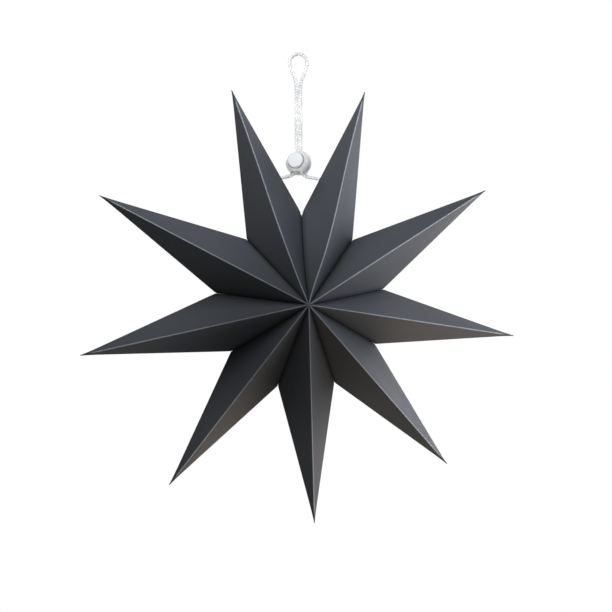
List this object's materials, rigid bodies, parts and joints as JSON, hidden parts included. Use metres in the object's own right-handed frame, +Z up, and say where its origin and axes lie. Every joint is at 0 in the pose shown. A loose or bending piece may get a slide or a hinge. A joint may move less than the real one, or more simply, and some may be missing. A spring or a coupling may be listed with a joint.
{
  "type": "hanging paper star",
  "caption": "Pointed folded-paper star that opens like a fan, closed and hung by a doubled cord with a ball cord lock.",
  "frame": {"origin": "the point under the cord's loop that rests on a hook", "axes": "+Z up along the hanging cord, -Y out of the star's front"},
  "size_m": [0.2977, 0.0598, 0.321],
  "materials": {
    "charcoal_paper": "matte",
    "white_cord": "matte, braided",
    "white_plastic": "satin",
    "spring_steel": "bright"
  },
  "bodies": {
    "cord": {"hanging_cord": "white_cord", "knot_left": "white_cord", "knot_right": "white_cord"},
    "point_1": {"point_1": "charcoal_paper"},
    "point_2": {"point_2": "charcoal_paper"},
    "point_3": {"point_3": "charcoal_paper"},
    "point_4": {"point_4": "charcoal_paper"},
    "point_5": {"point_5": "charcoal_paper"},
    "point_6": {"point_6": "charcoal_paper"},
    "point_7": {"point_7": "charcoal_paper"},
    "point_8": {"point_8": "charcoal_paper"},
    "point_9": {"point_9": "charcoal_paper"},
    "cord_lock": {"lock_body": "white_plastic", "lock_spring": "spring_steel"},
    "lock_button": {"lock_button": "white_plastic"}
  },
  "joints": [
    {"name": "swing", "type": "hinge", "parent": "cord", "child": "point_1", "pos_m": [0.00145, 0.0022, -0.08339], "axis": [1, 0, 0.0012], "range_deg": [-25, 25]},
    {"name": "fold_2", "type": "hinge", "parent": "point_1", "child": "point_2", "pos_m": [0.00204, 0, -0.1679], "axis": [0, 1, 0], "range_deg": [0, 40], "deforming": ["point_1", "point_2"]},
    {"name": "fold_3", "type": "hinge", "parent": "point_2", "child": "point_3", "pos_m": [0.00155, 0, -0.16881], "axis": [0, 1, 0], "range_deg": [0, 40], "deforming": ["point_3"]},
    {"name": "fold_4", "type": "hinge", "parent": "point_3", "child": "point_4", "pos_m": [0.00177, 0, -0.16979], "axis": [0, 1, 0], "range_deg": [0, 40], "deforming": ["point_4"]},
    {"name": "fold_5", "type": "hinge", "parent": "point_4", "child": "point_5", "pos_m": [0.00257, 0, -0.1704], "axis": [0, 1, 0], "range_deg": [0, 40], "deforming": ["point_5"]},
    {"name": "fold_6", "type": "hinge", "parent": "point_5", "child": "point_6", "pos_m": [0.00355, 0, -0.17035], "axis": [0, 1, 0], "range_deg": [0, 40], "deforming": ["point_6"]},
    {"name": "fold_7", "type": "hinge", "parent": "point_6", "child": "point_7", "pos_m": [0.00428, 0, -0.1697], "axis": [0, 1, 0], "range_deg": [0, 40], "deforming": ["point_7"]},
    {"name": "fold_8", "type": "hinge", "parent": "point_7", "child": "point_8", "pos_m": [0.00444, 0, -0.16873], "axis": [0, 1, 0], "range_deg": [0, 40], "deforming": ["point_8"]},
    {"name": "fold_9", "type": "hinge", "parent": "point_8", "child": "point_9", "pos_m": [0.0039, 0, -0.16784], "axis": [0, 1, 0], "range_deg": [0, 40], "deforming": ["point_9"]},
    {"name": "lock_slide", "type": "slide", "parent": "cord", "child": "cord_lock", "axis": [0, 0, 1], "range_m": [0, 0.04]},
    {"name": "button_press", "type": "slide", "parent": "cord_lock", "child": "lock_button", "axis": [0.3798, 0.917, -0.1219], "range_m": [0, 0.0016], "stiffness_N_per_m": 1500, "springref_m": -0.0004, "deforming": ["lock_spring"]}
  ],
  "couplings": [
    {"joint": "fold_3", "follows": "fold_2", "ratio": 1},
    {"joint": "fold_4", "follows": "fold_2", "ratio": 1},
    {"joint": "fold_5", "follows": "fold_2", "ratio": 1},
    {"joint": "fold_6", "follows": "fold_2", "ratio": 1},
    {"joint": "fold_7", "follows": "fold_2", "ratio": 1},
    {"joint": "fold_8", "follows": "fold_2", "ratio": 1},
    {"joint": "fold_9", "follows": "fold_2", "ratio": 1}
  ]
}
